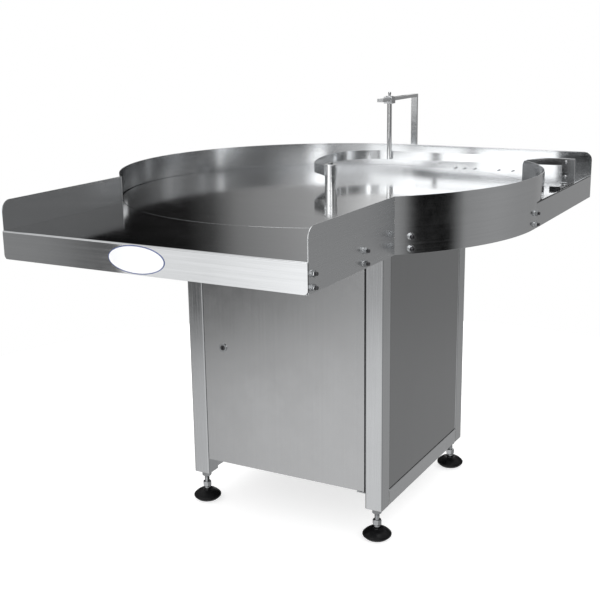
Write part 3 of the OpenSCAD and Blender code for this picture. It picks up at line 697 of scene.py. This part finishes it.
def cross_screw(bm, at, nrm, r, h0, h1, turn=0.0):
    rings_along(bm, at, nrm, [(0, -0.0001), (r - 0.0002, -0.0001), (r, 0.0002), (r, h0), (r * 0.88, h0 + (h1 - h0) * 0.45), (r * 0.62, h0 + (h1 - h0) * 0.85), (r * 0.40, h1), (r * 0.34, h1 - 0.0003), (r * 0.22, h1 - 0.0010), (0, h1 - 0.0011)], 28, turn=turn)


for x in (0.154, 0.185, 0.220, 0.300, 0.346, 0.497):
    cross_screw(bm, (x, 0.583, TZ), (0, 0, 1), 0.0035, 0.0010, 0.0021)
add_obj("plate_screw_heads", bm, M["bolt"], "root", ("plate_screws",))

# feet: jam nut, threaded stud with hexagon and neck, and lens-shaped pad
bm = bmesh.new()
for k, (sx, sy) in enumerate(((-1, -1), (1, -1), (-1, 1), (1, 1))):
    nut(bm, (sx * 0.275, sy * 0.275, 0), (0, 0, 1), 0.024, 0.00708, 0.0730, 0.0898, 0.0014, turn=0.3 + k)
add_obj("jam_nuts", bm, M["bolt"], "root", ("foot_jam_nuts",), sharp=28)
for k, (key, sx, sy) in enumerate((("fl", -1, -1), ("fr", 1, -1), ("rl", -1, 1), ("rr", 1, 1))):
    at = (sx * 0.275, sy * 0.275, 0)
    bm = bmesh.new()
    thread(bm, at, 0.0070, 0.0535, 0.1535, 0.002, 0.0009, 28, 6)
    hex_part(bm, at, (0, 0, 1), 0.022, 0.0390, 0.0540, 0.0013, turn=0.7 + k, both=True)
    rings_along(bm, at, (0, 0, 1), [(0, 0.0245), (0.0084, 0.0245), (0.0090, 0.0252), (0.0090, 0.0345), (0.0080, 0.0358), (0.0080, 0.0372), (0.0095, 0.0385), (0.0095, 0.0392), (0, 0.0392)], 40)
    add_obj("foot_stud_%s_turned" % key, bm, M["bolt"], "foot_" + key, ("foot_stud_" + key,), sharp=26)
    bm = bmesh.new()
    prof = [(0.0, 0.0008), (0.0255, 0.0008), (0.0262, 0.0), (0.0285, 0.0)]
    prof += [(math.sqrt(max(0.0, 0.05141 ** 2 - (0.0423 - z) ** 2)), z) for z in (0.0008, 0.002, 0.0035, 0.005, 0.0065, 0.008, 0.0092)]
    prof += [(0.0393, 0.0098), (0.0393, 0.0104), (0.0398, 0.0110), (0.0400, 0.0122), (0.0398, 0.0138)]
    prof += [(math.sqrt(max(0.0, 0.05085 ** 2 - (z + 0.0174) ** 2)), z) for z in (0.0150, 0.0168, 0.0188, 0.0208, 0.0228, 0.0246, 0.0262, 0.0276)]
    prof += [(0.0180, 0.0296), (0.0160, 0.0300), (0.0112, 0.0300), (0.0098, 0.0292), (0.0094, 0.0250), (0.0, 0.0246)]
    rings_along(bm, at, (0, 0, 1), prof, 64)
    add_obj("foot_pad_%s_moulded" % key, bm, M["rubber"], "foot_" + key, ("foot_pad_" + key,), sharp=40)

# centre post with its pivot journal
bm = bmesh.new()
lathe(bm, [(0, -0.009), (0.0100, -0.009), (0.0100, 0.0), (0.0164, 0.0), (0.0170, 0.0006), (0.0170, 0.0410), (0.0162, 0.0420), (0.0080, 0.0420), (0.0080, 0.0660), (0.0075, 0.0665), (0, 0.0665)], 72, (0, 0, TZ), closed=False)
add_obj("centre_post_turned", bm, M["turned"], "turntable", ("centre_post",))
refine("pivot_cap", M["turned"], 0.0007, 3)
refine("guide_rod", M["turned"], 0.0006, 2)

# screws of the guide
bw, bn = bmesh.new(), bmesh.new()
cl = (0.004, 0.3959, 1.130)
rings_along(bw, cl, (0, 0, 1), [(0, 0.003), (0.0114, 0.003), (0.0120, 0.0035), (0.0120, 0.0045), (0.0114, 0.0050), (0, 0.0050)], 48)
rings_along(bn, cl, (0, 0, 1), [(0, -0.012), (0.004, -0.012), (0.004, 0.0045), (0.0036, 0.0050), (0.0034, 0.0075), (0.0038, 0.0088), (0.0045, 0.0104), (0.0048, 0.0126), (0.0046, 0.0146), (0.0038, 0.0163), (0.0024, 0.0175), (0, 0.0178)], 36)
cp = (0, 0, TZ)
rings_along(bw, cp, (0, 0, 1), [(0, 0.0720), (0.0190, 0.0720), (0.0195, 0.0724), (0.0195, 0.0732), (0.0190, 0.0736), (0, 0.0736)], 64)
rings_along(bn, cp, (0, 0, 1), [(0, 0.0670), (0.004, 0.0670), (0.004, 0.0722), (0, 0.0722)], 24)
hex_part(bn, cp, (0, 0, 1), 0.013, 0.0736, 0.0790, 0.0010, turn=0.4)
for z in (0.912, 0.955):
    cross_screw(bn, (0.563, 0.4012, z), (0, -1, 0), 0.0045, 0.0012, 0.0028)
add_obj("guide_washers", bw, M["bright"], "guide", ("guide_bolts",))
add_obj("guide_screws", bn, M["bolt"], "guide", ("guide_bolts",), sharp=28)

# blank oval badge: enamelled face in a raised rim
bm = bmesh.new()


def oval(h, inset, n=96):
    return [bm.verts.new((-0.030 + (0.076 - inset) * math.cos(2 * math.pi * i / n), -0.8685 - h, 0.861 + (0.032 - inset) * math.sin(2 * math.pi * i / n))) for i in range(n)]


lev = [oval(0.0, 0.0), oval(0.0008, 0.0), oval(0.0012, 0.0004), oval(0.0012, 0.0022), oval(0.0009, 0.0026)]
lev += [oval(0.0009 + 0.0003 * math.sin(rad(90 * k / 6)), 0.0026 + 0.0270 * (1 - math.cos(rad(90 * k / 6)))) for k in range(1, 7)]
for q, (a, b) in enumerate(zip(lev, lev[1:])):
    for i in range(96):
        j = (i + 1) % 96
        f = bm.faces.new((a[i], a[j], b[j], b[i]))
        f.material_index = 0 if q < 3 else 1
f = bm.faces.new(lev[-1])
f.material_index = 1
bm.faces.new(list(reversed(lev[0])))
add_obj("blank_badge", bm, [M["badge_rim"], M["badge"]], "root", ("badge",), sharp=50)

# small weld spots along the seam of the wall and the round guard, and on the frame joints
bm = bmesh.new()


def weld_run(bm, a, b, r, flat=(0, 0, 0), n=None):
    """Overlapping beads of round section from a to b."""
    a, b = Vector(a), Vector(b)
    length = (b - a).length
    n = n or max(1, int(length / (r * 0.9)))
    d = (b - a).normalized()
    u, v, w = frame_of(d)
    rings = []
    steps = n * 4
    for k in range(steps + 1):
        t = k / steps
        rr = r * (0.86 + 0.14 * abs(math.sin(math.pi * n * t))) * min(1.0, 0.25 + 4 * t * n / 4, 0.25 + 4 * (1 - t) * n / 4)
        rings.append([bm.verts.new(a + d * length * t + (u * math.cos(2 * math.pi * i / 10) + v * math.sin(2 * math.pi * i / 10)) * rr) for i in range(10)])
    for p_, q_ in zip(rings, rings[1:]):
        for i in range(10):
            bm.faces.new((p_[i], p_[(i + 1) % 10], q_[(i + 1) % 10], q_[i]))
    bm.faces.new(list(reversed(rings[0])))
    bm.faces.new(rings[-1])


sxr = (0.3925, -0.4436)
sxl = (-0.4165, -0.4205)
for z in (0.866, 0.905, 0.950):
    weld_run(bm, (sxr[0], sxr[1], z - 0.004), (sxr[0], sxr[1], z + 0.004), 0.0016)
    weld_run(bm, (sxl[0], sxl[1], z - 0.004), (sxl[0], sxl[1], z + 0.004), 0.0016)
for sx in (-1, 1):
    for sy in (-1, 1):
        # rails to posts, on the sides
        weld_run(bm, (sx * 0.2995, sy * 0.2500, 0.096), (sx * 0.2995, sy * 0.2500, 0.131), 0.0012)
    weld_run(bm, (sx * 0.2500, 0.2995, 0.096), (sx * 0.2500, 0.2995, 0.131), 0.0012)
add_obj("weld_spots", bm, M["weld"], "root", ())

# side panels: sheets with a folded edge in the darker panel steel (painted shade); black strips in the gaps round them
# are painted shade of the gaps
def slab(bm, a, b, r=0.0005, segs=2):
    """A bar with broken edges."""
    x0, y0, z0 = a
    x1, y1, z1 = b
    vs = [bm.verts.new(p_) for p_ in ((x0, y0, z0), (x1, y0, z0), (x1, y1, z0), (x0, y1, z0), (x0, y0, z1), (x1, y0, z1), (x1, y1, z1), (x0, y1, z1))]
    fs = [bm.faces.new([vs[i] for i in q_]) for q_ in ((0, 3, 2, 1), (4, 5, 6, 7), (0, 1, 5, 4), (1, 2, 6, 5), (2, 3, 7, 6), (3, 0, 4, 7))]
    if r:
        es = list({e for f in fs for e in f.edges})
        bmesh.ops.bevel(bm, geom=es, offset=r, offset_type="OFFSET", segments=segs, profile=0.5, affect="EDGES", clamp_overlap=True)


hy, z0_, z1_ = 0.2484, 0.1366, 0.8004
zc, hz = (z0_ + z1_) / 2, (z1_ - z0_) / 2
bm, bs = bmesh.new(), bmesh.new()
for sg in (-1, 1):
    levels = [(0.0, 0.0080), (0.0, 0.0009), (0.0003, 0.0003), (0.0009, 0.0)]
    inner = [(0.0018, 0.0018), (0.0018, 0.0080)]
    rings = []
    for ins, dep in levels + inner:
        rings.append([bm.verts.new((sg * (0.2985 - dep), y, zc + z)) for y, z in rounded_rect(hy - ins, hz - ins, max(0.0004, 0.0016 - ins * 0.5), 3)])
    for a, b in ((0, 1), (1, 2), (2, 3), (4, 5)):
        for i in range(len(rings[0])):
            j = (i + 1) % len(rings[0])
            bm.faces.new((rings[a][i], rings[a][j], rings[b][j], rings[b][i]))
    for i in range(len(rings[0])):
        j = (i + 1) % len(rings[0])
        bm.faces.new((rings[5][i], rings[5][j], rings[0][j], rings[0][i]))
    bm.faces.new(rings[3])
    bm.faces.new(list(reversed(rings[4])))
    xa, xb = sorted((sg * 0.2915, sg * 0.2972))
    # black strips in the gaps round the panel: painted shade of the gaps
    slab(bs, (xa, 0.2485, 0.1352), (xb, 0.2499, 0.8018), 0.0003, 1)
    slab(bs, (xa, -0.2499, 0.1352), (xb, -0.2485, 0.8018), 0.0003, 1)
    slab(bs, (xa, -0.2484, 0.1351), (xb, 0.2484, 0.1365), 0.0003, 1)
    slab(bs, (xa, -0.2484, 0.8005), (xb, 0.2484, 0.8019), 0.0003, 1)
add_obj("side_panel_sheets", bm, M["panel"], "root", ("side_panels",), sharp=40)
# black gap strips: painted shade of the panel gaps
add_obj("panel_gap_painted_shade", bs, M["rubber"], "root", ())

# dark foot bar with its lip at the outlet
bm = bmesh.new()
slab(bm, (0.572, 0.2561, TZ), (0.589, 0.401, TZ + 0.003), 0.0006)
slab(bm, (0.558, 0.252, TZ), (0.5895, 0.256, TZ + 0.009), 0.0008)
add_obj("outlet_foot_bar", bm, M["darkbar"], "root", ("outlet_foot",), sharp=40)
bm = bmesh.new()
rings_along(bm, (0.5805, 0.330, TZ), (0, 0, 1), [(0, 0.0003), (0.003, 0.0003), (0.003, 0.003), (0.0060, 0.003), (0.0060, 0.0046), (0.0054, 0.0058), (0.0036, 0.0065), (0.0022, 0.0065), (0.0020, 0.0048), (0, 0.0048)], 36)
add_obj("outlet_foot_screw", bm, M["bolt"], "root", ("outlet_foot",))
# ------------------------------------------------------------------ stage and light
bm = bmesh.new()
lathe(bm, [(0, 0.0), (1.9, 0.0), (1.9, -0.02), (0, -0.02)], n=96, closed=False)
me = bpy.data.meshes.new("floor")
bm.to_mesh(me)
bm.free()
floor = bpy.data.objects.new("floor", me)
scene.collection.objects.link(floor)
floor.location = (0.0, 0.0, -0.0005)
mat, nt, bsdf = new_mat("floor_paper")
g = tex(nt, (3, 3, 3), detail=2.0)
nt.links.new(mix_col(nt, remap(nt, g.outputs["Fac"], 0.0, 1.0), (0.60, 0.60, 0.60), (0.62, 0.62, 0.62)), bsdf.inputs["Base Color"])
bsdf.inputs["Emission Color"].default_value = (1.0, 1.0, 1.0, 1.0)
bsdf.inputs["Emission Strength"].default_value = 0.70
bsdf.inputs["Roughness"].default_value = 0.9
bsdf.inputs["Specular IOR Level"].default_value = 0.0
me.materials.append(mat)
floor.visible_glossy = False

world = bpy.data.worlds.new("studio")
scene.world = world
world.use_nodes = True
nt = world.node_tree
for n in list(nt.nodes):
    nt.nodes.remove(n)
out = nt.nodes.new("ShaderNodeOutputWorld")
tc = nt.nodes.new("ShaderNodeTexCoord")
sep = nt.nodes.new("ShaderNodeSeparateXYZ")
nt.links.new(tc.outputs["Generated"], sep.inputs[0])


def wmath(op, a, b=None, c=None):
    n = nt.nodes.new("ShaderNodeMath")
    n.operation = op
    for i, v in enumerate((a, b, c)):
        if v is None:
            continue
        if hasattr(v, "node"):
            nt.links.new(v, n.inputs[i])
        else:
            n.inputs[i].default_value = v
    return n.outputs[0]


az = wmath("ARCTAN2", sep.outputs["X"], sep.outputs["Y"])
az01 = wmath("ADD", wmath("DIVIDE", az, 2 * math.pi), 0.5)


def panels(stops):
    """A ring of soft light panels round the object: azimuth in degrees from +Y towards +X, and brightness."""
    r = nt.nodes.new("ShaderNodeValToRGB")
    cr = r.color_ramp
    cr.interpolation = "EASE"
    pts = sorted(((a + 180.0) / 360.0, v) for a, v in stops)
    cr.elements[0].position = pts[0][0]
    cr.elements[0].color = (pts[0][1],) * 3 + (1,)
    cr.elements[1].position = pts[-1][0]
    cr.elements[1].color = (pts[-1][1],) * 3 + (1,)
    for p, v in pts[1:-1]:
        e = cr.elements.new(p)
        e.color = (v,) * 3 + (1,)
    nt.links.new(az01, r.inputs[0])
    return r.outputs["Color"]


low = panels([(-180, 0.6), (-165, 0.6), (-156, 0.55), (-154, 0.45), (-150, 0.32), (-149, 0.20), (-146, 0.05), (-143, 0.04), (-140, 0.16), (-137, 0.34), (-100, 0.30), (-60, 0.30), (4, 0.36), (20, 0.33), (30, 0.35), (60, 0.40), (80, 0.36), (85, 0.16), (90, 0.0), (108, 0.0), (112, 0.08), (116, 0.30), (125, 0.4), (150, 0.5), (180, 0.6)])
deep = panels([(-180, 0.9), (-156, 1.0), (-150, 0.95), (-144, 0.72), (-138, 0.55), (-100, 0.5), (0, 0.42), (22, 0.42), (80, 0.45), (90, 0.25), (108, 0.25), (118, 0.6), (150, 0.9), (180, 0.9)])
high = panels([(-180, 1.9), (-170, 1.9), (-164, 2.4), (-156, 2.5), (-145, 1.2), (-120, 0.4), (-60, 0.11), (-46, 0.06), (-40.5, 0.005), (-34.5, 0.01), (-32, 0.22), (-30, 0.31), (-27, 0.4), (-24, 0.85), (-20, 0.9), (-14, 0.8), (-9, 0.06), (4, 0.08), (17, 0.11), (31, 0.18), (44, 0.42), (57, 0.24), (79, 0.28), (83, 1.1), (87, 0.28), (109, 0.19), (135, 0.65), (148, 3.0), (155, 0.7), (173, 0.93), (180, 1.9)])
dp = nt.nodes.new("ShaderNodeMapRange")
dp.interpolation_type = "SMOOTHSTEP"
dp.inputs["From Min"].default_value = -0.225
dp.inputs["From Max"].default_value = -0.335
nt.links.new(sep.outputs["Z"], dp.inputs["Value"])
mixd = nt.nodes.new("ShaderNodeMix")
mixd.data_type = "RGBA"
nt.links.new(dp.outputs["Result"], mixd.inputs[0])
nt.links.new(low, mixd.inputs[6])
nt.links.new(deep, mixd.inputs[7])
el = nt.nodes.new("ShaderNodeMapRange")
el.interpolation_type = "SMOOTHSTEP"
el.inputs["From Min"].default_value = -0.05
el.inputs["From Max"].default_value = 0.04
nt.links.new(sep.outputs["Z"], el.inputs["Value"])
mixr = nt.nodes.new("ShaderNodeMix")
mixr.data_type = "RGBA"
nt.links.new(el.outputs["Result"], mixr.inputs[0])
nt.links.new(mixd.outputs[2], mixr.inputs[6])
nt.links.new(high, mixr.inputs[7])
top = nt.nodes.new("ShaderNodeMapRange")
top.interpolation_type = "SMOOTHSTEP"
top.inputs["From Min"].default_value = 0.35
top.inputs["From Max"].default_value = 0.8
nt.links.new(sep.outputs["Z"], top.inputs["Value"])
mixt = nt.nodes.new("ShaderNodeMix")
mixt.data_type = "RGBA"
nt.links.new(top.outputs["Result"], mixt.inputs[0])
nt.links.new(mixr.outputs[2], mixt.inputs[6])
mixt.inputs[7].default_value = (0.9, 0.9, 0.9, 1)
bg_env = nt.nodes.new("ShaderNodeBackground")
nt.links.new(mixt.outputs[2], bg_env.inputs["Color"])
bg_cam = nt.nodes.new("ShaderNodeBackground")
bg_cam.inputs["Color"].default_value = (1.0, 1.0, 1.0, 1)
bg_dif = nt.nodes.new("ShaderNodeBackground")
bg_dif.inputs["Color"].default_value = (1.05, 1.05, 1.05, 1)
lp = nt.nodes.new("ShaderNodeLightPath")
m1 = nt.nodes.new("ShaderNodeMixShader")
nt.links.new(lp.outputs["Is Diffuse Ray"], m1.inputs[0])
nt.links.new(bg_env.outputs[0], m1.inputs[1])
nt.links.new(bg_dif.outputs[0], m1.inputs[2])
m2 = nt.nodes.new("ShaderNodeMixShader")
nt.links.new(lp.outputs["Is Camera Ray"], m2.inputs[0])
nt.links.new(m1.outputs[0], m2.inputs[1])
nt.links.new(bg_cam.outputs[0], m2.inputs[2])
nt.links.new(m2.outputs[0], out.inputs["Surface"])


def area(name, loc, target, size, power, size_y=None):
    ld = bpy.data.lights.new(name, "AREA")
    ld.energy = power
    ld.size = size
    if size_y:
        ld.shape = "RECTANGLE"
        ld.size_y = size_y
    o = bpy.data.objects.new(name, ld)
    scene.collection.objects.link(o)
    o.location = loc
    d = Vector(target) - Vector(loc)
    o.rotation_euler = d.to_track_quat("-Z", "Y").to_euler()
    return o


area("soft_top", (0.2, -0.6, 4.2), (0, 0, 0), 3.2, 60.0)
for nm, loc, w_, h_, pw in (("strip_wide", (-0.225, -1.5, 0.71), 0.70, 0.18, 0.42), ("strip_core", (-0.30, -1.5, 0.71), 0.36, 0.18, 0.26)):
    lo_ = area(nm, loc, (loc[0], 0.0, loc[2] + 0.1), w_, pw, h_)
    lo_.visible_camera = False
    lo_.visible_diffuse = False
